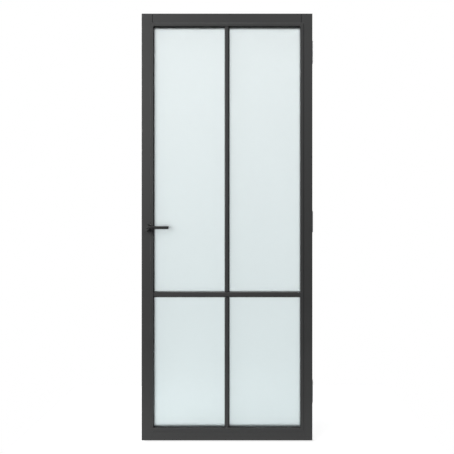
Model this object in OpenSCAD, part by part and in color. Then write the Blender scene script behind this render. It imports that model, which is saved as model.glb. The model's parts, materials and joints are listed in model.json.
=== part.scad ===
// Glazed interior door leaf: one satin pane in a painted frame, applied glazing bars,
// a slim lever on round roses, a mortise latch and three butt hinges.
// Millimetres, +Z up. The origin is the middle of the leaf's bottom edge.
// The front faces -Y, the lock side is -X and the hinge side is +X.

/* [Leaf] */
// Width of the leaf
leaf_w = 813; // [650:1:1000]
// Height of the leaf
leaf_h = 2032; // [1650:1:2400]
// Thickness of the leaf
leaf_t = 40; // [36:1:54]
// Width of each stile
stile_w = 52; // [48:1:70]
// Width of the top and bottom rails
rail_w = 56; // [50:1:80]
// Size of the eased arris along the outer edges
arris = 1; // [0.5:0.1:2]
// Depth of the V groove where the top rail meets the stiles
joint_vee = 2.4; // [0.5:0.1:3]
// Diameter of the dowels in the frame's corners
dowel_d = 8; // [6:1:10]
// Length of the dowels
dowel_len = 56; // [30:1:60]

/* [Glazing] */
// Thickness of the pane
glass_t = 6; // [4:1:8]
// Width of the glass rebate in stiles and rails
rebate_w = 10; // [8:1:14]
// Gap between the pane's edge and the rebate's wall, the setting blocks' height
edge_gap = 3; // [2:0.5:5]
// Thickness of the glazing tape
tape_t = 1.5; // [1:0.5:3]
// Length of each setting block
block_len = 60; // [30:5:100]

/* [Beads] */
// Width of the beads on the face
bead_w = 17; // [14:1:22]
// How far the beads lap over the stiles and rails
bead_lap = 12; // [11:0.5:12]
// How far the beads stand proud of the face
bead_proud = 2.5; // [1:0.5:6]
// Width of the bead's sloped outer edge
bead_slope = 3; // [1:0.5:6]
// Arris on the bead's inner edge
bead_arris = 1.5; // [0.5:0.5:3]
// Gap between a bead's body and the wood beside it
bead_fit = 0.2; // [0.1:0.1:1]

/* [Glazing bars] */
// Width of the upright bars
upright_w = 23; // [16:1:40]
// Width of the cross bar
cross_w = 26; // [16:1:40]
// Height of the cross bar's centre line above the leaf's bottom edge
cross_z = 694; // [400:1:1500]
// Depth of the bars, from their tape to their front
bar_depth = 15; // [8:0.5:16]
// Chamfer on the bars' front edges
bar_chamfer = 5; // [1:0.5:7]
// Gap left at the end of each bar
bar_gap = 0.5; // [0.2:0.1:2]
// Gap between the upright bars and the cross bar
cross_gap = 1.2; // [0.4:0.1:3]
// How much narrower the bar's tape is than the bar, on each side
bar_tape_inset = 2; // [1:0.5:4]

/* [Handle] */
// Height of the handle's axis above the bottom edge
handle_z = 1013; // [850:1:1200]
// Distance from the lock edge to the handle's axis
backset = 27.5; // [26.5:0.5:28.5]
// Diameter of the lever
lever_d = 14; // [13:0.5:15]
// Distance from the handle's axis to the lever's tip
lever_len = 107.5; // [80:0.5:150]
// Distance from the leaf's face to the lever's centre line
lever_reach = 45; // [38:1:60]
// Radius of the lever's bend, on its centre line
lever_bend = 12; // [10:0.5:16]
// Diameter of the rose
rose_d = 32; // [30:0.5:34]
// Thickness of the rose
rose_t = 8; // [7:0.5:12]
// Wall of the rose's cover
rose_wall = 0.9; // [0.6:0.1:1.5]
// Side of the square spindle
spindle_side = 8; // [7:0.5:8]

/* [Lock] */
// Height of the lock case
case_h = 95; // [90:1:140]
// Depth of the lock case, behind the faceplate
case_depth = 36; // [36:0.5:37]
// Thickness of the lock case
case_t = 14; // [14:0.5:16]
// Wall of the lock case
case_wall = 1.2; // [0.8:0.1:1.5]
// Height of the faceplate
face_h = 150; // [140:1:240]
// Width of the faceplate
face_w = 20; // [18:1:24]
// Thickness of the faceplate
face_t = 3; // [2:0.5:4]
// Height of the bolt
bolt_h = 20; // [12:1:24]
// Thickness of the bolt
bolt_t = 10; // [8:0.5:11]
// Travel of the bolt
bolt_throw = 10; // [8:0.5:11]
// Height of the bolt's centre above the handle's axis
bolt_up = 30; // [28:1:34]

/* [Hinges] */
// Height of each hinge
hinge_h = 100; // [80:1:120]
// Width of a flap on the leaf's edge, from the back face
flap_w = 24; // [18:1:36]
// Thickness of the flaps
flap_t = 2.5; // [2:0.5:4]
// Gap between the flaps, which is the door's gap at the hinge side
flap_gap = 2; // [2:0.5:4]
// Diameter of the knuckles
knuckle_d = 12; // [11:0.5:16]
// Diameter of the hinge pins
pin_d = 5; // [4:0.5:6]
// Distance from the leaf's top to the top hinge's centre
hinge_top_in = 175; // [100:1:250]
// Distance from the leaf's bottom to the bottom hinge's centre
hinge_bottom_in = 225; // [100:1:300]
// Spacing of the screw holes across the flap
hole_dy = 10; // [9:1:18]
// Spacing of the screw holes along the flap
hole_dz = 76; // [60:1:90]
// How far the leaf-side flap's screws sit inside the frame side's, so that their heads clear
screw_stagger = 8; // [0:1:12]
// Diameter of the flaps' screw holes
hole_d = 4.5; // [4:0.1:5]

/* [Hidden] */
$fn = 48;
FRAME = ["lock_stile", "hinge_stile", "top_rail", "bottom_rail", "rail_dowels"];
GLAZING = ["glass_pane", "setting_blocks", "glazing_tape_front", "glazing_tape_back"];
BEADS = ["bead_front_left", "bead_front_right", "bead_front_top", "bead_front_bottom",
  "bead_back_left", "bead_back_right", "bead_back_top", "bead_back_bottom"];
BARS = ["cross_bar_front", "cross_bar_back", "upright_bar_front_upper",
  "upright_bar_front_lower", "upright_bar_back_upper", "upright_bar_back_lower",
  "bar_tape_front", "bar_tape_back"];
HANDLE = ["lever_front", "lever_back", "spindle", "grub_screws", "rose_base_front",
  "rose_base_back", "rose_cover_front", "rose_cover_back", "rose_screws"];
LOCK = ["lock_case", "lock_cover", "lock_faceplate", "faceplate_screws", "follower",
  "return_spring", "latch_bolt", "latch_spring"];
HINGES = ["hinge_door_flap_top", "hinge_door_flap_middle", "hinge_door_flap_bottom",
  "hinge_frame_flap_top", "hinge_frame_flap_middle", "hinge_frame_flap_bottom",
  "hinge_pin_top", "hinge_pin_middle", "hinge_pin_bottom", "hinge_door_screws"];

// finishes
paint = "#3b3c3d";
satin_black = "#1d1e1f";
steel = "#b9bcbf";
satin_glass = "#dfe9eb";
soft_black = "#101112";
timber = "#c9a878";
cut = 1; // how far a cutting shape runs past what it cuts

// planes of the leaf
side_x = leaf_w / 2;
face_y = leaf_t / 2;
joint_x = side_x - stile_w; // where the rails meet the stiles
bead_x = joint_x + bead_lap; // the beads' outer edge on the stiles
bead_z = rail_w - bead_lap; // the beads' outer edge on the bottom rail
sight_x = bead_x - bead_w; // the visible pane's side
sight_z = bead_z + bead_w; // the visible pane's bottom
pane_face = glass_t / 2;
tape_face = pane_face + tape_t;
wall_x = joint_x + rebate_w; // the rebate's wall in the stiles
wall_z = rail_w - rebate_w; // the rebate's wall in the bottom rail
pane_x = wall_x - edge_gap;
pane_z = wall_z + edge_gap;
fit = 0.05; // radial gap of a pin, screw or dowel in its hole

// handle and lock
axis_x = -side_x + backset;
neck_fit = 0.06; // radial gap of the lever's neck in the rose
neck_start = face_y + 1; // where the lever's neck begins
socket_end = face_y + 25; // how deep the spindle reaches into each lever
socket_fit = 0.1; // gap round the spindle
screw_in = 11; // distance of the rose's screws from the handle's axis
rose_screw_d = 3;
rose_gap = 0.3; // gap between the rose's rim and the bead
rose_screw_len = 10;
case_x = -side_x + face_t; // the case's front
case_low = handle_z - 40; // the case's lower end
mortise_fit = 0.3;
bolt_z = handle_z + bolt_up;
bolt_fit = 0.3;
bolt_head = bolt_throw + 4; // length of the bolt's head
rod_d = 4; // the rod behind the bolt's head
collar_d = 9;
collar_t = 2;
guide_x = -side_x + bolt_head + 1; // the case's inner guide wall
case_back = case_x + case_depth;
collar_x = case_back - case_wall - 0.8 - collar_t;
hub_d = 15; // the follower's hub
journal_d = 13.6;
journal_fit = 0.06;
arm_len = 16; // the follower's arm
arm_t = 4;
arm_y = [0.5, 5.1]; // the arm's place across the case
face_screw_d = 3.5;
face_screw_len = 18;
face_screw_in = 9; // distance of the faceplate's screws from its ends
face_fit = 0.1; // gap round the faceplate in its recess

// hinges
axis_gap = 0.5; // gap between the knuckles and the leaf's back face
hinge_x = side_x + flap_gap / 2;
hinge_y = face_y + knuckle_d / 2 + axis_gap;
hinge_zs = [leaf_h - hinge_top_in, (leaf_h - hinge_top_in + hinge_bottom_in) / 2,
  hinge_bottom_in];
knuckles = 5;
knuckle_gap = 0.3;
flap_screw_d = 4;
flap_screw_len = 25;
flap_holes_y = face_y - flap_w / 2; // centre line of the screw holes

// ---------- helpers ----------

// the same thing at the back of the leaf
module back() { mirror([0, 1, 0]) children(); }

// the same thing at the hinge side of the leaf
module right() { mirror([1, 0, 0]) children(); }

// the same thing at the top of the leaf
module top() { translate([0, 0, leaf_h]) mirror([0, 0, 1]) children(); }

// a box from its lowest to its highest corner
module span(low, high) { translate(low) cube(high - low); }

// a square bar on edge, which cuts a V of this depth along an edge
module vee(depth, length, turn) {
  rotate(turn) rotate([0, 0, 45]) cube([depth * sqrt(2), depth * sqrt(2), length], center = true);
}

// a screw along +Z with its head's top at the origin, pointing down
module screw(d, length, head_d) {
  head_h = (head_d - d) / 2;
  slot = [head_d * 0.62, d * 0.2, head_h * 1.2];
  difference() {
    rotate_extrude() polygon([[0, 0], [head_d / 2, 0], [d / 2, -head_h],
      [d / 2, -length + d], [d * 0.1, -length], [0, -length]]);
    for (turn = [0, 90]) rotate([0, 0, turn]) cube(slot, center = true);
  }
}

// the hole for that screw: a clearance hole with a countersink
module screw_hole(d, length, head_d) {
  sink = (head_d - d) / 2;
  translate([0, 0, -length]) cylinder(d = d, h = length + cut);
  translate([0, 0, -sink]) cylinder(d1 = d, d2 = head_d, h = sink);
  cylinder(d = head_d, h = cut);
}

// a round wire along a list of points, in a plane that doesn't hold the reference axis
function unit(v) = v / norm(v);
function along(path, i) = unit(path[min(i + 1, len(path) - 1)] - path[max(i - 1, 0)]);
function ring(p, t, up, r, sides) = let (u = unit(cross(up, t)), v = cross(t, u))
  [for (k = [0:sides - 1]) let (a = 360 * k / sides) p + r * (cos(a) * u + sin(a) * v)];
module wire(path, up, r, sides) {
  n = len(path);
  points = [for (i = [0:n - 1]) each ring(path[i], along(path, i), up, r, sides)];
  walls = [for (i = [0:n - 2], k = [0:sides - 1]) let (m = (k + 1) % sides)
    [i * sides + m, i * sides + k, (i + 1) * sides + k, (i + 1) * sides + m]];
  first = [for (k = [0:sides - 1]) k];
  last = [for (k = [sides - 1:-1:0]) (n - 1) * sides + k];
  polyhedron(points, concat([first], walls, [last]));
}

// ---------- stiles and rails ----------

// the eased edges round the leaf's outline, front and back
module outline_arrises() {
  for (s = [-1, 1], f = [-1, 1]) translate([s * side_x, f * face_y, leaf_h / 2])
    vee(arris, leaf_h + 2 * cut, [0, 0, 0]);
  for (z = [0, leaf_h], f = [-1, 1]) translate([0, f * face_y, z])
    vee(arris, leaf_w + 2 * cut, [0, 90, 0]);
}

// V grooves along the top rail's shoulders, front and back
module joint_vees() {
  for (s = [-1, 1], f = [-1, 1]) translate([s * joint_x, f * face_y, leaf_h - rail_w / 2 + cut])
    vee(joint_vee, rail_w + 2 * cut, [0, 0, 0]);
}

// the room for the pane and its back beads, milled from the back
module rebate() {
  span([-wall_x, -tape_face, wall_z], [wall_x, face_y + cut, leaf_h - wall_z]);
}

// two dowels in each corner
module dowels(d, length) {
  step = wall_z / 4;
  for (s = [-1, 1], z = [step, 3 * step, leaf_h - step, leaf_h - 3 * step])
    translate([s * joint_x, 0, z]) rotate([0, 90, 0]) cylinder(d = d, h = length, center = true);
}

module member(low, high) {
  difference() {
    span(low, high);
    outline_arrises();
    joint_vees();
    rebate();
    dowels(dowel_d + 2 * fit, dowel_len + 1);
  }
}

module stile() { member([-side_x, -face_y, 0], [-joint_x, face_y, leaf_h]); }

module rail() { member([-joint_x, -face_y, 0], [joint_x, face_y, rail_w]); }

module lock_stile() {
  color(paint) difference() {
    stile();
    mortise();
    at_handle() rotate([90, 0, 0]) cylinder(d = lever_d + 2, h = leaf_t + 2 * cut, center = true);
    rose_screw_places()
      cylinder(d = rose_screw_d + 2 * fit, h = 2 * (rose_screw_len + fit), center = true);
    face_screw_places() translate([0, 0, -face_screw_len - fit])
      cylinder(d = face_screw_d + 2 * fit, h = face_screw_len);
  }
}

module hinge_stile() {
  color(paint) difference() {
    right() stile();
    for (z = hinge_zs) translate([0, 0, z]) {
      span([side_x - flap_t, face_y - flap_w, -hinge_h / 2],
        [side_x + cut, face_y + cut, hinge_h / 2]);
      flap_screw_places(screw_stagger) translate([0, 0, -flap_screw_len - fit])
        cylinder(d = flap_screw_d + 2 * fit, h = flap_screw_len);
    }
  }
}

module bottom_rail() { color(paint) rail(); }

module top_rail() {
  color(paint) member([-joint_x, -face_y, leaf_h - rail_w], [joint_x, face_y, leaf_h]);
}

module rail_dowels() { color(timber) dowels(dowel_d, dowel_len); }

// ---------- pane ----------

module glass_pane() {
  color(satin_glass, 0.6)
    span([-pane_x, -pane_face, pane_z], [pane_x, pane_face, leaf_h - pane_z]);
}

module setting_blocks() {
  for (s = [-1, 1]) color(soft_black) translate([s * pane_x / 2, 0, wall_z + edge_gap / 2])
    cube([block_len, glass_t, edge_gap], center = true);
}

// four strips of tape on the pane's front, between the pane and the frame
module glazing_tape() {
  in_x = sight_x + 1;
  in_z = sight_z - 1;
  for (s = [0, 1]) mirror([s, 0, 0])
    span([-pane_x, -tape_face, pane_z], [-in_x, -pane_face, leaf_h - pane_z]);
  span([-in_x, -tape_face, pane_z], [in_x, -pane_face, in_z]);
  top() span([-in_x, -tape_face, pane_z], [in_x, -pane_face, in_z]);
}

module glazing_tape_front() { color(soft_black) glazing_tape(); }

module glazing_tape_back() { color(soft_black) back() glazing_tape(); }

// ---------- beads ----------

// A bead's section: first number inward from the bead's outer edge, second outward from
// the leaf's middle. The body reaches down to the tape from body_start inward.
function bead_section(body_start) = [
  [0, face_y], [bead_slope, face_y + bead_proud], [bead_w - bead_arris, face_y + bead_proud],
  [bead_w, face_y + bead_proud - bead_arris], [bead_w, tape_face], [body_start, tape_face],
  [body_start, face_y]];
front_section = bead_section(bead_lap + bead_fit);
back_section = bead_section(bead_lap - rebate_w + bead_fit);

// a wedge of space whose slanted sides are the mitres at a bead's two ends
module mitred(a, b, c, d) {
  rotate([90, 0, 0]) linear_extrude(4 * leaf_t, center = true) polygon([a, b, c, d]);
}

// the left bead, drawn at the back
module side_bead(section) {
  intersection() {
    translate([-bead_x, 0, 0]) linear_extrude(leaf_h) polygon(section);
    mitred([-bead_x, bead_z], [-sight_x, sight_z], [-sight_x, leaf_h - sight_z],
      [-bead_x, leaf_h - bead_z]);
  }
}

// the left bead again, with a hollow for the rose's rim
module lock_side_bead(section) {
  difference() {
    side_bead(section);
    at_handle() rotate([-90, 0, 0]) translate([0, 0, face_y])
      cylinder(d = rose_d + 2 * rose_gap, h = leaf_t);
  }
}

// the bottom bead, drawn at the back
module end_bead(section) {
  intersection() {
    translate([0, 0, bead_z]) rotate([0, -90, 0])
      linear_extrude(leaf_w, center = true) polygon(section);
    mitred([-bead_x, bead_z], [bead_x, bead_z], [sight_x, sight_z], [-sight_x, sight_z]);
  }
}

module bead_front_left() { color(paint) back() lock_side_bead(front_section); }

module bead_front_right() { color(paint) back() right() side_bead(front_section); }

module bead_front_bottom() { color(paint) back() end_bead(front_section); }

module bead_front_top() { color(paint) back() top() end_bead(front_section); }

module bead_back_left() { color(paint) lock_side_bead(back_section); }

module bead_back_right() { color(paint) right() side_bead(back_section); }

module bead_back_bottom() { color(paint) end_bead(back_section); }

module bead_back_top() { color(paint) top() end_bead(back_section); }

// ---------- glazing bars ----------

// a bar's section: first number across the bar, second outward from the leaf's middle
function bar_section(width) = [
  [-width / 2, tape_face], [width / 2, tape_face],
  [width / 2, tape_face + bar_depth - bar_chamfer],
  [width / 2 - bar_chamfer, tape_face + bar_depth],
  [-width / 2 + bar_chamfer, tape_face + bar_depth],
  [-width / 2, tape_face + bar_depth - bar_chamfer]];

cross_half = sight_x - bar_gap; // the cross bar's half length
lower_z = [sight_z + bar_gap, cross_z - cross_w / 2 - cross_gap];
upper_z = [cross_z + cross_w / 2 + cross_gap, leaf_h - sight_z - bar_gap];

module cross_bar() {
  translate([0, 0, cross_z]) rotate([0, -90, 0])
    linear_extrude(2 * cross_half, center = true) polygon(bar_section(cross_w));
}

module upright_bar(ends) {
  translate([0, 0, ends[0]]) linear_extrude(ends[1] - ends[0]) polygon(bar_section(upright_w));
}

module bar_tape() {
  tape_x = upright_w / 2 - bar_tape_inset;
  tape_z = cross_w / 2 - bar_tape_inset;
  span([-cross_half, pane_face, cross_z - tape_z], [cross_half, tape_face, cross_z + tape_z]);
  for (ends = [lower_z, upper_z])
    span([-tape_x, pane_face, ends[0]], [tape_x, tape_face, ends[1]]);
}

module cross_bar_front() { color(paint) back() cross_bar(); }

module cross_bar_back() { color(paint) cross_bar(); }

module upright_bar_front_upper() { color(paint) back() upright_bar(upper_z); }

module upright_bar_front_lower() { color(paint) back() upright_bar(lower_z); }

module upright_bar_back_upper() { color(paint) upright_bar(upper_z); }

module upright_bar_back_lower() { color(paint) upright_bar(lower_z); }

module bar_tape_front() { color(soft_black) back() bar_tape(); }

module bar_tape_back() { color(soft_black) bar_tape(); }

// ---------- lever handles ----------

module at_handle() { translate([axis_x, 0, handle_z]) children(); }

// places a child that is drawn with the handle's axis along +Z, outward at the front
module at_front() { at_handle() rotate([90, 0, 0]) children(); }

// the four rose screws' places, each with its head outward
module rose_screw_places() {
  for (f = [0, 1], s = [-1, 1]) mirror([0, f, 0]) at_front()
    translate([0, s * screw_in, face_y]) children();
}

rose_plate = 2.5; // the thickness of the rose's base
collar_w = 2.5; // the wall of the collar that carries the lever's neck

module rose_base() {
  at_front() difference() {
    translate([0, 0, face_y]) union() {
      cylinder(d = rose_d - 2 * rose_wall - 0.2, h = rose_plate);
      cylinder(d = lever_d + 2 * collar_w, h = rose_t - rose_wall - 0.1);
    }
    cylinder(d = lever_d + 2 * neck_fit, h = leaf_t);
    for (s = [-1, 1]) translate([0, s * screw_in, face_y + rose_plate])
      screw_hole(rose_screw_d + 2 * fit, rose_plate + cut, 5.4);
  }
}

module rose_cover() {
  edge = 1; // the cover's eased outer edge
  at_front() translate([0, 0, face_y]) rotate_extrude() polygon([
    [lever_d / 2 + 0.4, rose_t - rose_wall], [rose_d / 2 - rose_wall, rose_t - rose_wall],
    [rose_d / 2 - rose_wall, 0], [rose_d / 2, 0], [rose_d / 2, rose_t - edge],
    [rose_d / 2 - edge, rose_t], [lever_d / 2 + 0.4, rose_t]]);
}

// the lever at the front: a round bar with one bend, socketed for the spindle
module lever() {
  tip = 1.5; // the eased edge of the lever's tip
  run = lever_len - lever_bend;
  socket = spindle_side + 2 * socket_fit;
  at_handle() difference() {
    union() {
      rotate([90, 0, 0]) translate([0, 0, neck_start])
        cylinder(d = lever_d, h = face_y + lever_reach - lever_bend - neck_start);
      translate([lever_bend, -face_y - lever_reach + lever_bend, 0]) rotate([0, 0, 180])
        rotate_extrude(angle = 90) translate([lever_bend, 0]) circle(d = lever_d);
      translate([lever_bend, -face_y - lever_reach, 0]) rotate([0, 90, 0]) rotate_extrude()
        polygon([[0, 0], [lever_d / 2, 0], [lever_d / 2, run - tip], [lever_d / 2 - tip, run],
          [0, run]]);
    }
    translate([0, -socket_end / 2, 0]) cube([socket, socket_end, socket], center = true);
    grub_place() cylinder(d = grub_d + 2 * fit, h = lever_d);
  }
}

grub_d = 4;
grub_y = face_y + 14; // the grub screw's distance from the leaf's middle

module grub_place() {
  translate([0, -grub_y, 0]) rotate([180, 0, 0]) translate([0, 0, spindle_side / 2 + socket_fit])
    children();
}

module lever_front() { color(satin_black) lever(); }

module lever_back() { color(satin_black) back() lever(); }

module spindle() {
  color(steel) at_handle()
    cube([spindle_side, 2 * socket_end - 0.4, spindle_side], center = true);
}

module grub_screws() {
  for (f = [0, 1]) color(steel) mirror([0, f, 0]) at_handle() grub_place()
    cylinder(d = grub_d, h = (lever_d - spindle_side) / 2 - 0.5);
}

module rose_base_front() { color(steel) rose_base(); }

module rose_base_back() { color(steel) back() rose_base(); }

module rose_cover_front() { color(satin_black) rose_cover(); }

module rose_cover_back() { color(satin_black) back() rose_cover(); }

module rose_screws() {
  color(steel) rose_screw_places() translate([0, 0, rose_plate - fit])
    screw(rose_screw_d, rose_screw_len, 5.2);
}

// ---------- mortise latch ----------

// a shape drawn upright at the leaf's edge, with +Z pointing out of the edge
module at_edge(z) { translate([-side_x, 0, z]) rotate([0, -90, 0]) children(); }

module face_screw_places() {
  for (s = [-1, 1]) at_edge(handle_z + s * (face_h / 2 - face_screw_in)) children();
}

module mortise() {
  grow = [0, mortise_fit, mortise_fit];
  span([-side_x - cut, -case_t / 2, case_low] - grow,
    [case_back + mortise_fit, case_t / 2, case_low + case_h] + grow);
  faceplate_shape(face_t + cut, face_fit, -face_t);
}

// a plate with round ends, standing in the leaf's edge
module faceplate_shape(thick, grow, from) {
  straight = face_h - face_w;
  width = face_w + 2 * grow;
  at_edge(handle_z) translate([0, 0, from]) {
    translate([-straight / 2, -width / 2, 0]) cube([straight, width, thick]);
    for (s = [-1, 1]) translate([s * straight / 2, 0, 0]) cylinder(d = width, h = thick);
  }
}

module bolt_window() {
  span([-side_x - cut, -bolt_t / 2 - bolt_fit, bolt_z - bolt_h / 2 - bolt_fit],
    [case_x + case_wall + cut, bolt_t / 2 + bolt_fit, bolt_z + bolt_h / 2 + bolt_fit]);
}

module lock_faceplate() {
  color(steel) difference() {
    faceplate_shape(face_t, 0, -face_t);
    bolt_window();
    face_screw_places() screw_hole(face_screw_d + 2 * fit, face_t + cut, 7.2);
  }
}

module faceplate_screws() {
  color(steel) face_screw_places() translate([0, 0, -fit]) screw(face_screw_d, face_screw_len, 7);
}

cover_y = case_t / 2 - case_wall; // the inner face of the case's cover

// the follower's bearing holes through the case's floor and cover
module journal_holes() {
  at_front() cylinder(d = journal_d + 2 * journal_fit, h = 2 * case_t, center = true);
}

// a tray with its open side at the back, and a guide wall for the bolt's rod
module lock_case() {
  color(steel) difference() {
    union() {
      difference() {
        span([case_x, -case_t / 2, case_low], [case_back, cover_y, case_low + case_h]);
        span([case_x + case_wall, -cover_y, case_low + case_wall],
          [case_back - case_wall, case_t, case_low + case_h - case_wall]);
      }
      span([guide_x, -cover_y, bolt_z - bolt_h / 2],
        [guide_x + case_wall, cover_y, bolt_z + bolt_h / 2]);
    }
    bolt_window();
    journal_holes();
    translate([guide_x, 0, bolt_z]) rotate([0, 90, 0])
      cylinder(d = rod_d + 2 * journal_fit, h = 4 * case_wall, center = true);
  }
}

module lock_cover() {
  color(steel) difference() {
    span([case_x, cover_y, case_low], [case_back, case_t / 2, case_low + case_h]);
    journal_holes();
  }
}

// the bolt is drawn in, flush with the faceplate
module latch_bolt() {
  color(steel) {
    difference() {
      span([-side_x, -bolt_t / 2, bolt_z - bolt_h / 2],
        [-side_x + bolt_head, bolt_t / 2, bolt_z + bolt_h / 2]);
      for (f = [-1, 1]) translate([-side_x, f * bolt_t / 2, bolt_z]) vee(arris, bolt_h + cut, [0, 0, 0]);
    }
    translate([-side_x + bolt_head, 0, bolt_z]) rotate([0, 90, 0]) {
      cylinder(d = rod_d, h = collar_x + collar_t + side_x - bolt_head);
      translate([0, 0, collar_x + side_x - bolt_head]) cylinder(d = collar_d, h = collar_t);
    }
  }
}

// a compression spring round the bolt's rod, between the guide wall and the collar
module latch_spring() {
  wire_r = 0.4;
  coil_r = 3.2;
  turns = 7;
  steps = 12;
  start = guide_x + case_wall + wire_r + 0.1;
  length = collar_x - start - wire_r - 0.1;
  color(steel) wire([for (i = [0:turns * steps]) let (a = 360 * i / steps)
    [start + length * i / (turns * steps), coil_r * cos(a), bolt_z + coil_r * sin(a)]],
    [1, 0, 0], wire_r, 6);
}

// the hub that the spindle turns, with the arm that its spring presses down
module follower() {
  color(steel) at_front() difference() {
    union() {
      cylinder(d = journal_d, h = case_t, center = true);
      cylinder(d = hub_d, h = 2 * cover_y - 0.4, center = true);
      span([-arm_len, -arm_t / 2, -arm_y[1]], [0, arm_t / 2, -arm_y[0]]);
    }
    cube([spindle_side + 2 * socket_fit, spindle_side + 2 * socket_fit, leaf_t], center = true);
  }
}

// a torsion spring round the hub: one leg on the case's front wall, one on top of the arm
module return_spring() {
  wire_r = 0.6;
  coil_r = hub_d / 2 + 1.4;
  turns = 2.5;
  steps = 16;
  pitch = 1.4;
  low = -4.6; // where the coil starts across the case
  leg = backset - face_t - case_wall - 0.3; // reaches the case's front wall
  coil = [for (i = [0:turns * steps]) let (a = 270 + 360 * i / steps)
    [coil_r * cos(a), low + pitch * i / steps, coil_r * sin(a)]];
  first = [[-leg, low, -coil_r]];
  last = [[-arm_len + 1, (arm_y[0] + arm_y[1]) / 2, arm_t / 2 + wire_r + 0.1]];
  color(steel) at_handle() wire(concat(first, coil, last), [0, 1, 0], wire_r, 6);
}

// ---------- hinges ----------

knuckle_step = hinge_h / knuckles;

// the hinge is drawn about its own centre height, at the leaf's hinge edge
module knuckle(i, d, grow) {
  low = -hinge_h / 2 + i * knuckle_step + knuckle_gap / 2 - grow;
  translate([hinge_x, hinge_y, low]) cylinder(d = d, h = knuckle_step - knuckle_gap + 2 * grow);
}

// the four screws' places in a flap, each with its head outward
module flap_screw_places(stagger) {
  for (y = [-1, 1], z = [-1, 1])
    translate([side_x, flap_holes_y + y * hole_dy / 2, z * (hole_dz / 2 - stagger)])
      rotate([0, 90, 0]) children();
}

// the leaf-side flap, with the knuckles whose numbers have this remainder by two
module flap(odd, stagger) {
  web_y = hinge_y - knuckle_d / 5; // where the plate runs into the knuckles
  difference() {
    union() {
      span([side_x - flap_t, face_y - flap_w, -hinge_h / 2], [side_x, web_y, hinge_h / 2]);
      for (i = [0:knuckles - 1]) if (i % 2 == odd) knuckle(i, knuckle_d, 0);
    }
    for (i = [0:knuckles - 1]) if (i % 2 != odd) knuckle(i, knuckle_d + 0.8, knuckle_gap);
    translate([hinge_x, hinge_y, 0]) cylinder(d = pin_d + 2 * fit, h = hinge_h + cut, center = true);
    flap_screw_places(stagger) screw_hole(hole_d, flap_t + cut, hole_d + 3.5);
  }
}

module door_flap(i) { color(steel) translate([0, 0, hinge_zs[i]]) flap(1, screw_stagger); }

// the frame-side flap faces the other across the gap, and has the outer knuckles
module frame_flap(i) {
  color(steel) translate([2 * hinge_x, 0, hinge_zs[i]]) right() flap(0, 0);
}

// a loose pin with a button head at the top
module pin(i) {
  head = 2.5;
  color(steel) translate([hinge_x, hinge_y, hinge_zs[i] - hinge_h / 2]) rotate_extrude()
    polygon([[0, 0], [pin_d / 2 - 0.5, 0], [pin_d / 2, 0.5], [pin_d / 2, hinge_h],
      [knuckle_d / 2 - 0.5, hinge_h], [knuckle_d / 2 - 0.5, hinge_h + head - 1],
      [knuckle_d / 2 - 1.5, hinge_h + head], [0, hinge_h + head]]);
}

module hinge_door_screws() {
  for (z = hinge_zs) color(steel) translate([0, 0, z]) flap_screw_places(screw_stagger)
    translate([0, 0, -fit]) screw(flap_screw_d, flap_screw_len, hole_d + 3);
}

lock_stile();
hinge_stile();
top_rail();
bottom_rail();
rail_dowels();
glass_pane();
setting_blocks();
glazing_tape_front();
glazing_tape_back();
bead_front_left();
bead_front_right();
bead_front_top();
bead_front_bottom();
bead_back_left();
bead_back_right();
bead_back_top();
bead_back_bottom();
cross_bar_front();
cross_bar_back();
upright_bar_front_upper();
upright_bar_front_lower();
upright_bar_back_upper();
upright_bar_back_lower();
bar_tape_front();
bar_tape_back();
lever_front();
lever_back();
spindle();
grub_screws();
rose_base_front();
rose_base_back();
rose_cover_front();
rose_cover_back();
rose_screws();
lock_case();
lock_cover();
lock_faceplate();
faceplate_screws();
follower();
return_spring();
latch_bolt();
latch_spring();
door_flap(0);  // hinge_door_flap_top
door_flap(1);  // hinge_door_flap_middle
door_flap(2);  // hinge_door_flap_bottom
frame_flap(0);  // hinge_frame_flap_top
frame_flap(1);  // hinge_frame_flap_middle
frame_flap(2);  // hinge_frame_flap_bottom
pin(0);  // hinge_pin_top
pin(1);  // hinge_pin_middle
pin(2);  // hinge_pin_bottom
hinge_door_screws();
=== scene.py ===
# %% [markdown]
# # A glazed interior door
# The door is a slim dark frame round one satin pane, with mitred beads, bars laid on the glass, a
# straight lever on each side and three butt hinges. Its structure is already fixed in a imported model,
# so this lesson only makes the surfaces: every piece below takes its size and place from that model.
# We load it first and keep its outline.

import json
import math

import bmesh
import bpy
from mathutils import Matrix, Vector

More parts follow.
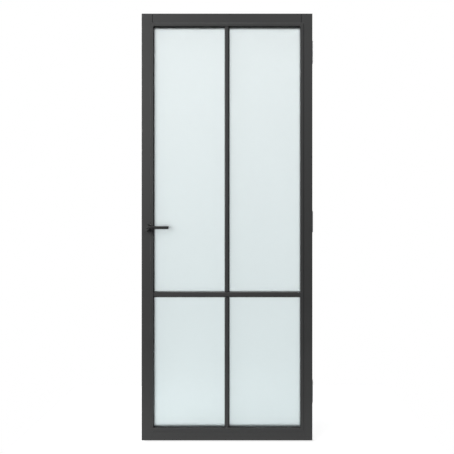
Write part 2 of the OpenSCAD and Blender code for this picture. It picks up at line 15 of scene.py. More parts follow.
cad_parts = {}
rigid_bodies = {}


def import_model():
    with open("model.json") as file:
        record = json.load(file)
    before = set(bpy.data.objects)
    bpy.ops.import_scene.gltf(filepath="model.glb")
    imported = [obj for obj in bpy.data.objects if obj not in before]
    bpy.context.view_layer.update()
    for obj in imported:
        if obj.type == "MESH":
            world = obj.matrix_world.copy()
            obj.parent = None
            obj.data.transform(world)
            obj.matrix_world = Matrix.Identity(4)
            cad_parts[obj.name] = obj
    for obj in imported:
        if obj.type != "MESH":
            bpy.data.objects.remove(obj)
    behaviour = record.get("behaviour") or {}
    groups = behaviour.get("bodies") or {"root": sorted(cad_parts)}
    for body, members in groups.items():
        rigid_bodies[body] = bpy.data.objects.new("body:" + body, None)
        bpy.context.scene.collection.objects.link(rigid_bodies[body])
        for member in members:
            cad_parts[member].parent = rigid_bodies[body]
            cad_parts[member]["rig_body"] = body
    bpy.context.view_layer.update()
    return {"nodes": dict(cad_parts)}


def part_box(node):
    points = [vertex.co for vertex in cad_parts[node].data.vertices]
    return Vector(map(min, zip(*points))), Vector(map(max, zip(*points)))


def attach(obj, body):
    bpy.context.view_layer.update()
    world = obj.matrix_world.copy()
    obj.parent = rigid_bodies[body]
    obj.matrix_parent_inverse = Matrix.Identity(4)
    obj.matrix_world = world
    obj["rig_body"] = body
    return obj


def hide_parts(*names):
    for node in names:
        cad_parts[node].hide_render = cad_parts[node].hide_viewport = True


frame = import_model()
nodes = frame["nodes"]
MM = 0.001

# %% [markdown]
# ## The studio
# A catalogue door is shot straight on against white. The camera stands a few metres away at half the
# door's height, a touch to the right, with the lens shifted back: the frame's lines stay upright, and a
# little more of the left reveal shows than of the right one.

# %% Camera
leaf_low, leaf_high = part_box("lock_stile")
leaf_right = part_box("hinge_stile")[1]
door_low = Vector((leaf_low.x, leaf_low.y, leaf_low.z))
door_high = Vector((leaf_right.x, leaf_high.y, leaf_high.z))
door_mid = (door_low + door_high) / 2
view_distance, view_width, view_side = 2.6, 2.1605, 0.10
sensor_width = 36.0
camera_data = bpy.data.cameras.new("camera")
camera_data.sensor_width = sensor_width
camera_data.lens = sensor_width * view_distance / view_width
camera_data.shift_x = -view_side / view_width
camera = bpy.data.objects.new("camera", camera_data)
camera.location = (door_mid.x + view_side, door_low.y - view_distance, door_mid.z)
camera.rotation_euler = (math.radians(90), 0, 0)
bpy.context.scene.collection.objects.link(camera)
bpy.context.scene.camera = camera
print("leaf:", [round(v / MM) for v in door_high - door_low], "mm; camera at", tuple(camera.location))

# %% [markdown]
# ### One helper for every node
# The sky, the finishes and the shapes below are all node trees, and building one means adding nodes and
# joining them. This helper adds one node, sets its options and fills its sockets, either with a value or
# with a link from another node, so that each tree below reads like a short recipe.


# %% The node helper
def wire(tree, kind, sockets, settings):
    """Adds a node to a tree: a socket is linked if it is given another node's output, and set if not."""
    node = tree.nodes.new(kind)
    for name, value in settings.items():
        setattr(node, name, value)
    for key, value in sockets.items():
        if isinstance(value, bpy.types.NodeSocket):
            tree.links.new(value, node.inputs[key])
        else:
            node.inputs[key].default_value = value
    return node


# %% [markdown]
# ### Light
# The sky does two jobs. Looked at directly, or through the pane alone, it is pure white. As a light it is
# dim and a little stronger from the upper left front, so that the dark lacquer keeps its depth. The lamps do
# the rest: a broad one lights the faces from the left, two small ones graze the slopes of the beads from
# the far left and from above, one fills the back, and one on the right draws the lever's shadow. The floor
# is a small pale sheet that glows enough to merge with the white.


# %% Floor, sky and lamps
WHITE = (1.0, 1.0, 1.0, 1.0)
LAMPS = {
    "broad_left": ((-3.6, -4.2, 2.8), 2.2, 270),
    "far_left": ((-5.0, -1.1, 1.8), 0.8, 90),
    "above": ((-0.2, -0.8, 5.6), 0.8, 90),
    "back_left": ((-4.6, 2.4, 3.0), 2.0, 200),
    "small_right": ((2.2, -4.6, 3.9), 0.5, 55),
}


def make_floor(drop, width, front, back):
    mesh = bpy.data.meshes.new("floor")
    half = width / 2
    corners = [(-half, -front, -drop), (half, -front, -drop), (half, back, -drop), (-half, back, -drop)]
    mesh.from_pydata(corners, [], [(0, 1, 2, 3)])
    floor = bpy.data.objects.new("floor", mesh)
    bpy.context.scene.collection.objects.link(floor)
    return floor


def make_sky(seen, dim, bright, towards):
    world = bpy.data.worlds.new("white_studio")
    bpy.context.scene.world = world
    world.use_nodes = True
    tree = world.node_tree
    tree.nodes.clear()

    def add(kind, sockets, **settings):
        return wire(tree, kind, sockets, settings).outputs

    def math_of(operation, a, b):
        return add("ShaderNodeMath", {0: a, 1: b}, operation=operation)[0]

    # the sky counts as a bounce of its own, so a ray that met nothing but glass has one bounce left over
    path = add("ShaderNodeLightPath", {})
    left_over = math_of("SUBTRACT", path["Ray Depth"], path["Transmission Depth"])
    only_glass = math_of("LESS_THAN", left_over, 1.5)
    through = math_of("MULTIPLY", path["Is Transmission Ray"], only_glass)
    is_seen = math_of("MAXIMUM", path["Is Camera Ray"], through)
    direction = add("ShaderNodeTexCoord", {})["Generated"]
    bright_side = Vector(towards).normalized()
    side = add("ShaderNodeVectorMath", {0: direction, 1: bright_side}, operation="DOT_PRODUCT")["Value"]
    span = {"Value": side, "From Min": -1.0, "From Max": 1.0, "To Min": dim, "To Max": bright}
    glow = add("ShaderNodeMapRange", span)["Result"]
    light = add("ShaderNodeBackground", {"Color": WHITE, "Strength": glow})[0]
    shown = add("ShaderNodeBackground", {"Color": WHITE, "Strength": seen})[0]
    mix = add("ShaderNodeMixShader", {0: is_seen, 1: light, 2: shown})[0]
    add("ShaderNodeOutputWorld", {"Surface": mix})


def add_lamp(name, place, aim, size, power):
    data = bpy.data.lights.new(name, "AREA")
    data.shape = "DISK"
    data.size = size
    data.energy = power
    lamp = bpy.data.objects.new(name, data)
    lamp.location = place
    lamp.rotation_euler = (Vector(aim) - Vector(place)).to_track_quat("-Z", "Y").to_euler()
    bpy.context.scene.collection.objects.link(lamp)


floor = make_floor(drop=8 * MM, width=2.0, front=0.9, back=0.9)
make_sky(seen=1.0, dim=0.04, bright=0.34, towards=(-0.25, -0.80, 0.55))
for name, (place, size, power) in LAMPS.items():
    add_lamp(name, place, door_mid, size, power)
bpy.context.scene.view_settings.view_transform = "Standard"

# %% [markdown]
# ## Finishes
# Each finish is a small node tree on Object coordinates, which are metres in the door's own frame, so a
# scale of 500 gives grains about two millimetres across. A `Finish` object keeps the trees short: it holds
# one material, and `add` makes a node and wires its inputs in one call. Values that are the same all over
# go straight on the shader's own socket.


# %% The finish helper
class Finish:
    def __init__(self, name, **shader):
        self.material = bpy.data.materials.new(name)
        self.material.use_nodes = True
        self.tree = self.material.node_tree
        self.shader = self.tree.nodes["Principled BSDF"]
        for key, value in shader.items():
            self.shader.inputs[key.replace("_", " ")].default_value = value
        self.place = self.add("ShaderNodeTexCoord").outputs["Object"]

    def add(self, kind, sockets=None, **settings):
        return wire(self.tree, kind, sockets or {}, settings)

    def feed(self, key, socket):
        self.tree.links.new(socket, self.shader.inputs[key])

    def stretched(self, scale):
        mapping = self.add("ShaderNodeMapping", {"Vector": self.place})
        mapping.inputs["Scale"].default_value = scale
        return mapping.outputs[0]

    def noise(self, scale, detail=3.0, rough=0.5, place=None):
        sockets = {"Vector": place or self.place, "Scale": scale, "Detail": detail, "Roughness": rough}
        return self.add("ShaderNodeTexNoise", sockets).outputs["Fac"]

    def spread(self, value, low, high):
        """Turns a texture's middle range into a range of our own."""
        sockets = {"Value": value, "From Min": 0.3, "From Max": 0.7, "To Min": low, "To Max": high}
        return self.add("ShaderNodeMapRange", sockets).outputs["Result"]

    def tones(self, value, dark, light):
        mix = self.add("ShaderNodeMix", {0: value}, data_type="RGBA")
        mix.inputs[6].default_value = (*dark, 1.0)
        mix.inputs[7].default_value = (*light, 1.0)
        return mix.outputs[2]

    def bump(self, height, depth, under=None):
        sockets = {"Height": height, "Strength": 1.0, "Distance": depth}
        if under:
            sockets["Normal"] = under
        return self.add("ShaderNodeBump", sockets).outputs["Normal"]


# %% [markdown]
# ### Matt lacquer
# The frame is wood under a sprayed anthracite lacquer. Three things tell the eye so: a faint orange peel
# from the spray, a still fainter trace of the grain running along each member, and a sheen that wanders a
# little. The grain runs up the stiles and across the rails, so there are two lacquers, one turned.


# %% Lacquer
def make_lacquer(name, grain_scale):
    finish = Finish(name, Specular_IOR_Level=0.42)
    grain = finish.noise(1.0, 4.0, 0.6, finish.stretched(grain_scale))
    peel = finish.noise(620.0, 2.0)
    cloud = finish.noise(7.0, 2.0)
    tone = finish.add("ShaderNodeMath", {0: grain, 1: cloud}, operation="MULTIPLY_ADD")
    tone.inputs[2].default_value = 0.25
    dark, light = (0.0125, 0.0130, 0.0132), (0.0200, 0.0205, 0.0205)
    finish.feed("Base Color", finish.tones(tone.outputs[0], dark, light))
    finish.feed("Roughness", finish.spread(cloud, 0.5, 0.58))
    fine = finish.bump(peel, 0.00004)
    finish.feed("Normal", finish.bump(grain, 0.00006, fine))
    return finish.material


lacquer_up = make_lacquer("lacquer_grain_up", (700.0, 700.0, 14.0))
lacquer_across = make_lacquer("lacquer_grain_across", (14.0, 700.0, 700.0))
print("lacquers:", lacquer_up.name, lacquer_across.name)

# %% [markdown]
# ### Metals
# The levers and roses are powder coated: a finer, pebbly skin, a little glossier than the lacquer and
# lighter where hands rub it. The hinges, the lock's faceplate, its bolt and the screws are bare brushed
# steel, whose streaks come from a noise stretched along the brushing.


# %% Powder coat and steel
def make_powder_coat():
    finish = Finish("powder_coat", Specular_IOR_Level=0.3)
    pebbles = finish.noise(1900.0, 2.0)
    rub = finish.noise(28.0, 3.0)
    finish.feed("Base Color", finish.tones(rub, (0.0050, 0.0052, 0.0054), (0.0090, 0.0092, 0.0094)))
    finish.feed("Roughness", finish.spread(rub, 0.40, 0.52))
    finish.feed("Normal", finish.bump(pebbles, 0.00003))
    return finish.material


def make_steel(name, streaks, light, rough):
    finish = Finish(name, Metallic=1.0)
    lines = finish.noise(1.0, 5.0, 0.65, finish.stretched(streaks))
    stains = finish.noise(45.0, 3.0)
    dark = tuple(0.82 * v for v in light)
    finish.feed("Base Color", finish.tones(stains, dark, light))
    finish.feed("Roughness", finish.spread(lines, rough - 0.07, rough + 0.09))
    finish.feed("Normal", finish.bump(lines, 0.00002))
    return finish.material


powder_coat = make_powder_coat()
brushed_steel = make_steel("brushed_steel", (2600.0, 2600.0, 30.0), (0.58, 0.585, 0.59), 0.33)
drawn_wire = make_steel("drawn_wire", (900.0, 900.0, 900.0), (0.40, 0.41, 0.42), 0.38)
print("metals:", powder_coat.name, brushed_steel.name, drawn_wire.name)

# %% [markdown]
# ### Satin glass
# Acid etching turns the pane's face into a field of tiny pits. Light still comes through, but what is
# behind it blurs away within a hand's breadth. The shader is therefore nearly all rough transmission, with
# a little pale surface that picks up soft shadows such as the lever's. Its tint is that of glass with some
# iron in it, and it is painted darker towards the foot of the door as painted shade from the light above.


# %% Glass
def make_satin_glass():
    finish = Finish("satin_glass", IOR=1.45, Transmission_Weight=0.93, Specular_IOR_Level=0.3)
    pits = finish.noise(2400.0, 2.0)
    # the tint lightens with height as painted shade: the pane is coloured lighter at the top and darker at
    # the foot
    painted_shade_per_metre, cloudiness = 0.42, 0.15
    up = finish.add("ShaderNodeSeparateXYZ", {0: finish.place}).outputs["Z"]
    height = finish.add("ShaderNodeMath", {0: up, 1: painted_shade_per_metre}, operation="MULTIPLY").outputs[0]
    cloud_and_painted_shade = finish.add("ShaderNodeMath", {0: finish.noise(2.2, 2.0), 1: cloudiness, 2: height},
                      operation="MULTIPLY_ADD").outputs[0]
    # the pane's tints at the foot and at the head; the foot's is darker by painted shade
    shaded_foot_tint, head = (0.665, 0.75, 0.76), (0.82, 0.88, 0.885)
    finish.feed("Base Color", finish.tones(cloud_and_painted_shade, shaded_foot_tint, head))
    finish.feed("Roughness", finish.spread(finish.noise(9.0, 3.0), 0.45, 0.52))
    finish.feed("Normal", finish.bump(pits, 0.00002))
    return finish.material


satin_glass = make_satin_glass()
print("glass:", satin_glass.name, "with", len(satin_glass.node_tree.nodes), "nodes")

# %% [markdown]
# ### Small parts
# Foam tape, the setting blocks' plastic and the dowels' beech are nearly out of sight. They still get a
# grain each, since the model can be opened up and looked at piece by piece. The floor uses the same tree.


# %% Tape, plastic and beech
def make_plain(name, dark, light, rough, grain, depth, **shader):
    finish = Finish(name, **shader)
    speck = finish.noise(1.0, 3.0, 0.6, finish.stretched(grain))
    finish.feed("Base Color", finish.tones(speck, dark, light))
    finish.feed("Roughness", finish.spread(speck, rough - 0.08, rough + 0.08))
    finish.feed("Normal", finish.bump(speck, depth))
    return finish.material


foam_tape = make_plain("foam_tape", (0.008,) * 3, (0.022,) * 3, 0.85, (1500.0,) * 3, 0.0001)
black_plastic = make_plain("black_plastic", (0.015,) * 3, (0.028,) * 3, 0.5, (800.0,) * 3, 0.00003)
beech = make_plain("beech", (0.46, 0.30, 0.16), (0.62, 0.45, 0.27), 0.6, (20.0, 900.0, 900.0), 0.0001)
floor_white = make_plain("floor_white", (0.3,) * 3, (0.32,) * 3, 0.9, (3.0,) * 3, 0.0002,
                         Emission_Color=WHITE, Emission_Strength=0.78)
floor.data.materials.append(floor_white)
print("finishes:", len(bpy.data.materials))

# %% [markdown]
# ## Geometry Nodes as a workshop
# A bead and a bar are the same job: take a moulding's section, ease its corners, run it to length and cut
# its ends. That is a rule, so it is a node tree with named inputs, used for fourteen pieces. `Recipe` builds
# a tree the way `Finish` builds a material, and `grow` runs one on a small starting mesh, turns the result
# into a plain mesh and takes the modifier off again.


# %% The recipe helper
class Recipe:
    def __init__(self, name, inputs):
        self.tree = bpy.data.node_groups.new(name, "GeometryNodeTree")
        self.tree.interface.new_socket("Geometry", in_out="INPUT", socket_type="NodeSocketGeometry")
        for label, kind in inputs.items():
            self.tree.interface.new_socket(label, in_out="INPUT", socket_type="NodeSocket" + kind)
        self.tree.interface.new_socket("Finish", in_out="INPUT", socket_type="NodeSocketMaterial")
        self.tree.interface.new_socket("Geometry", in_out="OUTPUT", socket_type="NodeSocketGeometry")
        self.given = self.tree.nodes.new("NodeGroupInput").outputs

    def add(self, kind, sockets=None, **settings):
        return wire(self.tree, kind, sockets or {}, settings)

    def math(self, operation, a, b=0.0, c=0.0):
        return self.add("ShaderNodeMath", {0: a, 1: b, 2: c}, operation=operation).outputs[0]

    def finish(self, geometry):
        plain = self.add("GeometryNodeRealizeInstances", {"Geometry": geometry}).outputs[0]
        sockets = {"Geometry": plain, "Material": self.given["Finish"]}
        done = self.add("GeometryNodeSetMaterial", sockets).outputs[0]
        self.add("NodeGroupOutput", {"Geometry": done})
        return self


def shade(mesh, angle=32):
    """Smooth shading with sharp edges kept, in which a flat face's normal wins over its rounded edge's."""
    mesh.polygons.foreach_set("use_smooth", [True] * len(mesh.polygons))
    mesh.set_sharp_from_angle(angle=math.radians(angle))
    holder = bpy.data.objects.new("holder", mesh)
    bpy.context.scene.collection.objects.link(holder)
    weights = holder.modifiers.new("weights", "WEIGHTED_NORMAL")
    weights.weight, weights.keep_sharp = 100, True
    bpy.context.view_layer.update()
    seen = holder.evaluated_get(bpy.context.evaluated_depsgraph_get())
    shaded = bpy.data.meshes.new_from_object(seen)
    bpy.data.objects.remove(holder)
    return shaded


def grow(name, recipe, points, edges, values, finish, turn=Matrix.Identity(4)):
    """Runs a recipe on a small mesh of points and edges, and returns the finished piece."""
    start = bpy.data.meshes.new(name)
    start.from_pydata(points, edges, [])
    piece = bpy.data.objects.new(name, start)
    bpy.context.scene.collection.objects.link(piece)
    modifier = piece.modifiers.new(name, "NODES")
    modifier.node_group = recipe.tree
    for item in recipe.tree.interface.items_tree:
        if item.in_out == "INPUT" and item.name in values:
            modifier[item.identifier] = values[item.name]
        if item.in_out == "INPUT" and item.name == "Finish":
            modifier[item.identifier] = finish
    bpy.context.view_layer.update()
    seen = piece.evaluated_get(bpy.context.evaluated_depsgraph_get())
    mesh = bpy.data.meshes.new_from_object(seen)
    piece.modifiers.clear()
    mesh.transform(turn)
    if turn.determinant() < 0:
        mesh.flip_normals()
    piece.data = shade(mesh)
    piece.data.name = name
    return piece


def put(piece, node):
    """The piece stands for a CAD node: it rides on that node's body and hides it."""
    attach(piece, nodes[node]["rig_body"])
    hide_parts(node)


# %% [markdown]
# ### The moulding recipe
# The starting mesh is the section, a closed ring of corners lying flat. Fillet Curve rounds the corners by
# the radius of a sanded arris, Fill Curve makes a face of it, and Extrude Mesh runs it to length. Extruding
# leaves the first face behind, so a flipped copy closes that end. Then come the mitres: each end's points
# slide along by their own distance from the bead's outer edge, which is what a 45 degree cut does. Last, a
# cylinder can bite a round notch out of the piece, and a switch leaves that out where no notch is wanted.

# %% Moulding tree
moulding = Recipe("moulding", {"Length": "Float", "Arris": "Float", "Mitre": "Float", "Notch": "Float",
                               "Notch height": "Float", "Notch centre": "Float", "Notch floor": "Float"})
given = moulding.given
ring = moulding.add("GeometryNodeMeshToCurve", {"Mesh": given["Geometry"]}).outputs[0]
eased = moulding.add("GeometryNodeFilletCurve",
                     {"Curve": ring, "Count": 3, "Radius": given["Arris"], "Limit Radius": True}, mode="POLY")
end_face = moulding.add("GeometryNodeFillCurve", {"Curve": eased.outputs[0]}, mode="NGONS").outputs[0]
reach = moulding.add("ShaderNodeCombineXYZ", {"Z": given["Length"]}).outputs[0]
body = moulding.add("GeometryNodeExtrudeMesh", {"Mesh": end_face, "Offset": reach, "Offset Scale": 1.0,
                                                "Individual": False}, mode="FACES").outputs[0]
flipped = moulding.add("GeometryNodeFlipFaces", {"Mesh": end_face}).outputs[0]
both = moulding.add("GeometryNodeJoinGeometry")
moulding.tree.links.new(body, both.inputs[0])
moulding.tree.links.new(flipped, both.inputs[0])
weld = {"Geometry": both.outputs[0], "Distance": 1e-6}
whole = moulding.add("GeometryNodeMergeByDistance", weld).outputs[0]
place = moulding.add("ShaderNodeSeparateXYZ", {0: moulding.add("GeometryNodeInputPosition").outputs[0]})
upper = moulding.math("GREATER_THAN", place.outputs["Z"], moulding.math("MULTIPLY", given["Length"], 0.5))
side = moulding.math("MULTIPLY_ADD", upper, -2.0, 1.0)
slide = moulding.math("MULTIPLY", moulding.math("MULTIPLY", side, place.outputs["X"]), given["Mitre"])
shift = moulding.add("ShaderNodeCombineXYZ", {"Z": slide}).outputs[0]
cut_ends = moulding.add("GeometryNodeSetPosition", {"Geometry": whole, "Offset": shift}).outputs[0]
bite_depth = 50 * MM
bite = moulding.add("GeometryNodeMeshCylinder",
                    {"Vertices": 96, "Radius": given["Notch"], "Depth": bite_depth})
bite_mid = moulding.math("ADD", given["Notch floor"], bite_depth / 2)
bite_place = moulding.add("ShaderNodeCombineXYZ", {"X": given["Notch centre"], "Y": bite_mid,
                                                   "Z": given["Notch height"]}).outputs[0]
bite_placed = moulding.add("GeometryNodeTransform", {"Geometry": bite.outputs[0], "Translation": bite_place,
                                                     "Rotation": (math.radians(90), 0, 0)}).outputs[0]
bitten = moulding.add("GeometryNodeMeshBoolean", {"Mesh 1": cut_ends, "Mesh 2": bite_placed},
                      operation="DIFFERENCE").outputs[0]
has_notch = moulding.math("GREATER_THAN", given["Notch"], 0.0)
chosen = moulding.add("GeometryNodeSwitch", {"Switch": has_notch, "False": cut_ends, "True": bitten},
                      input_type="GEOMETRY").outputs[0]
moulding.finish(chosen)
print("moulding tree:", len(moulding.tree.nodes), "nodes")

# %% [markdown]
# ## Beads
# A bead laps over the frame, slopes up to its flat top and turns down towards the glass. Its section has
# seven corners, all worked out from the model: the flat of the frame's face, the bead's own box and the
# glazing tape's. The same section serves all four sides; a matrix lays each bead in its place, and a mirror
# image has its faces turned the right way round again.

# %% Bead sections
face_y = door_high.y
left_low, left_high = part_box("bead_back_left")
bead_width = left_high.x - left_low.x
bead_top = left_high.y
tape_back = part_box("glazing_tape_back")[1].y
bead_slope, bead_arris = 3.0 * MM, 1.5 * MM
lap_fit = 0.2 * MM
joint_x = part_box("top_rail")[0].x
rebate_depth = 10.0 * MM
lap_front = joint_x - left_low.x + lap_fit
lap_back = joint_x - left_low.x - rebate_depth + lap_fit


def bead_section(body_start):
    return [(0, face_y, 0), (bead_slope, bead_top, 0), (bead_width - bead_arris, bead_top, 0),
            (bead_width, bead_top - bead_arris, 0), (bead_width, tape_back, 0), (body_start, tape_back, 0),
            (body_start, face_y, 0)]


def closed(count):
    return [(i, (i + 1) % count) for i in range(count)]


print("bead in mm:", [round(v / MM, 2) for v in (bead_width, tape_back, bead_top)])

# %% [markdown]
# The bead on the lock side has a shallow hollow for the rose's rim: the recipe's notch, a cylinder taken
# out of the lap down to the frame's face.

# %% Make the eight beads
MIRROR_X = Matrix.Diagonal((-1, 1, 1, 1))
MIRROR_Y = Matrix.Diagonal((1, -1, 1, 1))
LAY_DOWN = Matrix(((0, 0, -1, 0), (0, 1, 0, 0), (1, 0, 0, 0), (0, 0, 0, 1)))
UPSIDE_DOWN = Matrix.Translation((0, 0, 2 * door_mid.z)) @ Matrix.Diagonal((1, 1, -1, 1))
rose_low, rose_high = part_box("rose_cover_front")
rose_mid = (rose_low + rose_high) / 2
rose_radius = (rose_high.x - rose_low.x) / 2


def bead(side, face):
    node = f"bead_{face}_{side}"
    low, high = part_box(node)
    section = bead_section(lap_front if face == "front" else lap_back)
    upright = side in ("left", "right")
    length = high.z - low.z if upright else high.x - low.x
    values = {"Length": length, "Arris": 0.45 * MM, "Mitre": 1.0, "Notch": 0.0}
    if side == "left":
        values.update({"Notch": rose_radius + 0.3 * MM, "Notch height": rose_mid.z - low.z,
                       "Notch centre": rose_mid.x - low.x, "Notch floor": face_y})
    if upright:
        turn = Matrix.Translation((left_low.x, 0, low.z))
        turn = MIRROR_X @ turn if side == "right" else turn
    elif side == "bottom":
        turn = Matrix.Translation((high.x, 0, low.z)) @ LAY_DOWN
    else:
        turn = UPSIDE_DOWN @ Matrix.Translation((high.x, 0, 2 * door_mid.z - high.z)) @ LAY_DOWN
    turn = MIRROR_Y @ turn if face == "front" else turn
    finish = lacquer_up if upright else lacquer_across
    put(grow(f"moulded_{node}", moulding, section, closed(7), values, finish, turn), node)


for face in ("front", "back"):
    for side in ("left", "right", "top", "bottom"):
        bead(side, face)

# %% [markdown]
# ## Glazing bars
# The bars are straight mouldings with a wide chamfer on each front edge, so the same recipe makes them with
# no mitre. The cross bar runs through, and the uprights stop just short of it: that fine gap is where the
# glass shows at the crossing.


# %% Make the six bars
chamfer = 5.0 * MM


def bar(node):
    low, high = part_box(node)
    is_cross = node.startswith("cross")
    width = high.z - low.z if is_cross else high.x - low.x
    near, far = sorted((abs(low.y), abs(high.y)))
    half = width / 2
    section = [(-half, near, 0), (half, near, 0), (half, far - chamfer, 0), (half - chamfer, far, 0),
               (-half + chamfer, far, 0), (-half, far - chamfer, 0)]
    length = high.x - low.x if is_cross else high.z - low.z
    values = {"Length": length, "Arris": 0.6 * MM, "Mitre": 0.0, "Notch": 0.0}
    turn = Matrix.Translation((0, 0, low.z))
    if is_cross:
        turn = Matrix.Translation((high.x, 0, (low.z + high.z) / 2)) @ LAY_DOWN
    turn = MIRROR_Y @ turn if "front" in node else turn
    finish = lacquer_across if is_cross else lacquer_up
    put(grow(f"moulded_{node}", moulding, section, closed(6), values, finish, turn), node)
    return width, length


for node in sorted(nodes):
    if "_bar_" in node:
        print(node, [round(v / MM, 1) for v in bar(node)])

# %% [markdown]
# ## Softened pieces
# Stiles, rails, hinge flaps and the lock's faceplate carry mortises, recesses and screw holes that the
# model already has right. Real edges are never razor sharp, though, and it is the little round on an edge
# that catches the light. So each gets a copy of its CAD mesh, welded, freed of its triangulation, and
# bevelled along its long edges by a fraction of a millimetre.


# %% The softening helper
def softened(node, finish, width, shortest=4.0 * MM):
    bm = bmesh.new()
    bm.from_mesh(nodes[node].data)
    bmesh.ops.remove_doubles(bm, verts=bm.verts, dist=1e-6)
    flat = math.radians(0.5)
    bmesh.ops.dissolve_limit(bm, angle_limit=flat, verts=bm.verts, edges=bm.edges)
    sharp = math.radians(28)
    edges = [e for e in bm.edges if len(e.link_faces) == 2 and e.calc_face_angle(0.0) > sharp
             and e.calc_length() > shortest]
    bmesh.ops.bevel(bm, geom=edges, offset=width, offset_type="OFFSET", segments=3, profile=0.5,
                    affect="EDGES", clamp_overlap=False)
    mesh = bpy.data.meshes.new(f"soft_{node}")
    bm.to_mesh(mesh)
    bm.free()
    mesh.materials.append(finish)
    piece = bpy.data.objects.new(f"soft_{node}", shade(mesh))
    bpy.context.scene.collection.objects.link(piece)
    put(piece, node)
    return piece


# %% [markdown]
# ### Frame and pane
# Stiles run the full height and the rails fit between them, dowelled and glued, with a small V where they
# meet. A pass with fine paper before lacquering takes about a third of a millimetre off each edge. The
# pane's edge is ground, so its round is wider, but the beads hide it.

# %% Stiles, rails and pane
sanded, ground = 0.35 * MM, 0.8 * MM
for node in ("lock_stile", "hinge_stile"):
    softened(node, lacquer_up, sanded)
for node in ("top_rail", "bottom_rail"):
    softened(node, lacquer_across, sanded)
softened("glass_pane", satin_glass, ground)

# %% [markdown]
# ## Levers
# A lever is a round bar with one bend. Its starting mesh has three points: where the neck leaves the rose,
# the corner and the tip. Fillet Curve makes the bend, Curve to Mesh gives it its thickness, and the radius
# shrinks over the last millimetre and a half along a quarter circle, which eases the tip's edge.

# %% Lever tree
bent_bar = Recipe("bent_bar", {"Bend": "Float", "Radius": "Float", "Tip": "Float"})
given = bent_bar.given
path = bent_bar.add("GeometryNodeMeshToCurve", {"Mesh": given["Geometry"]}).outputs[0]
bent = bent_bar.add("GeometryNodeFilletCurve",
                    {"Curve": path, "Count": 24, "Radius": given["Bend"], "Limit Radius": False}, mode="POLY")
ring_spacing = 0.35 * MM
steps = bent_bar.add("GeometryNodeResampleCurve", {"Curve": bent.outputs[0], "Length": ring_spacing},
                     mode="LENGTH")
run = bent_bar.add("GeometryNodeSplineParameter").outputs["Length"]
total = bent_bar.add("GeometryNodeSplineLength").outputs["Length"]
to_tip = bent_bar.math("SUBTRACT", total, run)
share = bent_bar.math("DIVIDE", bent_bar.math("SUBTRACT", given["Tip"], to_tip), given["Tip"])
share = bent_bar.math("MAXIMUM", share, 0.0)
drop = bent_bar.math("SUBTRACT", 1.0, bent_bar.math("SQRT", bent_bar.math("SUBTRACT", 1.0,
                     bent_bar.math("MULTIPLY", share, share))))
lost = bent_bar.math("DIVIDE", bent_bar.math("MULTIPLY", drop, given["Tip"]), given["Radius"])
scale = bent_bar.math("SUBTRACT", 1.0, lost)
ring = bent_bar.add("GeometryNodeCurvePrimitiveCircle", {"Resolution": 64, "Radius": given["Radius"]})
tube = bent_bar.add("GeometryNodeCurveToMesh", {"Curve": steps.outputs[0], "Profile Curve": ring.outputs[0],
                                                "Scale": scale, "Fill Caps": True})
welded = bent_bar.add("GeometryNodeMergeByDistance", {"Geometry": tube.outputs[0], "Distance": 1e-6})
bent_bar.finish(welded.outputs[0])
print("lever tree:", len(bent_bar.tree.nodes), "nodes")


# %% [markdown]
# The two levers are the same bar on opposite faces. Its thickness, its reach and the place of its neck are
# read from the model, so that the finished bar fills the same box, and only the bend's radius is chosen.


# %% Make both levers
def lever(face):
    node = f"lever_{face}"
    low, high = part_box(node)
    side = -1 if face == "front" else 1
    bar_radius = (high.z - low.z) / 2
    inner, outer = sorted((abs(low.y), abs(high.y)))
    height = (low.z + high.z) / 2
    corner_y = side * (outer - bar_radius)
    points = [(low.x + bar_radius, side * inner, height), (low.x + bar_radius, corner_y, height),
              (high.x, corner_y, height)]
    values = {"Bend": 12.0 * MM, "Radius": bar_radius, "Tip": 1.5 * MM}
    put(grow(f"bent_{node}", bent_bar, points, [(0, 1), (1, 2)], values, powder_coat), node)


for face in ("front", "back"):
    lever(face)

# %% [markdown]
# ## Turned parts
# The roses' covers and the hinge pins come off a lathe. A turned part is a section spun round an axis: the
# helper below spins any closed section, welds the start to the end, and points the faces outwards.


# %% The lathe
def turned(name, section, centre, axis, finish, sides=96):
    """Spins a closed section of (radius, height) points round an axis through centre."""
    bm = bmesh.new()
    verts = [bm.verts.new((r, 0, h)) for r, h in section]
    edges = [bm.edges.new((verts[i], verts[(i + 1) % len(verts)])) for i in range(len(verts))]
    bmesh.ops.spin(bm, geom=verts + edges, cent=(0, 0, 0), axis=(0, 0, 1), angle=2 * math.pi, steps=sides)
    bmesh.ops.remove_doubles(bm, verts=bm.verts, dist=1e-6)
    bmesh.ops.dissolve_degenerate(bm, edges=bm.edges, dist=1e-7)
    bmesh.ops.recalc_face_normals(bm, faces=bm.faces)
    mesh = bpy.data.meshes.new(name)
    bm.to_mesh(mesh)
    bm.free()
    turn = Vector((0, 0, 1)).rotation_difference(Vector(axis)).to_matrix().to_4x4()
    mesh.transform(Matrix.Translation(centre) @ turn)
    mesh.materials.append(finish)
    piece = bpy.data.objects.new(name, shade(mesh))
    bpy.context.scene.collection.objects.link(piece)
    return piece


def round_over(outer, top, radius, steps=6):
    """Points of a quarter round from a rim's side to its top."""
    turns = [math.radians(90 * i / steps) for i in range(steps + 1)]
    return [(outer - radius + radius * math.cos(a), top - radius + radius * math.sin(a)) for a in turns]


# %% [markdown]
# A rose cover is a shallow pressed cap with a hole for the lever's neck, so its section is a thin wall with
# a rounded rim. A hinge pin is a plain rod with a chamfered foot and a domed head that stops it falling
# through the knuckles.


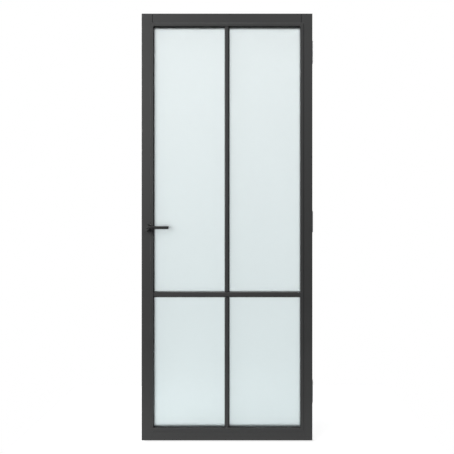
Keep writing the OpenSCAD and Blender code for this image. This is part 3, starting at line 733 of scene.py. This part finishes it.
# %% Roses and hinge pins
def rose(face):
    node = f"rose_cover_{face}"
    low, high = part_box(node)
    side = -1 if face == "front" else 1
    outer = (high.x - low.x) / 2
    depth = high.y - low.y
    wall = 0.9 * MM
    hole = 7.4 * MM
    section = [(outer - wall, 0), (outer, 0), *round_over(outer, depth, 1.0 * MM),
               *[(hole + 0.3 * MM, depth), (hole, depth - 0.3 * MM)], (hole, depth - wall),
               (outer - wall, depth - wall)]
    centre = ((low.x + high.x) / 2, side * face_y, (low.z + high.z) / 2)
    put(turned(f"turned_{node}", section, centre, (0, side, 0), powder_coat), node)


def hinge_pin(place):
    node = f"hinge_pin_{place}"
    low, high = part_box(node)
    head = (high.x - low.x) / 2
    shank, head_height = 2.5 * MM, 2.5 * MM
    length = high.z - low.z
    under_head = length - head_height
    section = [(0, 0), (shank - 0.5 * MM, 0), (shank, 0.5 * MM), (shank, under_head), (head, under_head),
               *round_over(head, length, 1.2 * MM), (0, length)]
    centre = ((low.x + high.x) / 2, (low.y + high.y) / 2, low.z)
    put(turned(f"turned_{node}", section, centre, (0, 0, 1), brushed_steel, 48), node)


for face in ("front", "back"):
    rose(face)
for place in ("top", "middle", "bottom"):
    hinge_pin(place)

# %% [markdown]
# ## Steel that shows
# Hinge flaps and the faceplate are stamped from strip and tumbled, which rounds their edges a little, and
# the latch bolt is finished the same way. The softening helper suits all of them, as their holes and
# knuckles have to stay where the model puts them.

# %% Hinge flaps, faceplate and bolt
stamped, finer = 0.3 * MM, 0.25 * MM
flaps = [f"hinge_{side}_flap_{place}" for place in ("top", "middle", "bottom") for side in ("door", "frame")]
for node in flaps:
    softened(node, brushed_steel, stamped)
for node in ("lock_faceplate", "latch_bolt"):
    softened(node, brushed_steel, finer)
print("softened:", len(flaps), "flaps, the faceplate and the bolt")

# %% [markdown]
# ## What stays as modelled
# The rest is inside the leaf or behind a cover: dowels, setting blocks, tape, the latch's works and the
# screws. Their CAD meshes are right as they are, so they only get their finish.

# %% Finish the remaining nodes
REMAINING = {
    foam_tape: ["glazing_tape_front", "glazing_tape_back", "bar_tape_front", "bar_tape_back"],
    black_plastic: ["setting_blocks"],
    beech: ["rail_dowels"],
    drawn_wire: ["return_spring", "latch_spring"],
}
for node, obj in nodes.items():
    finish = next((f for f, names in REMAINING.items() if node in names), brushed_steel)
    if not obj.hide_render:
        obj.data.materials.clear()
        obj.data.materials.append(finish)
print("left as modelled:", len([o for o in nodes.values() if not o.hide_render]))
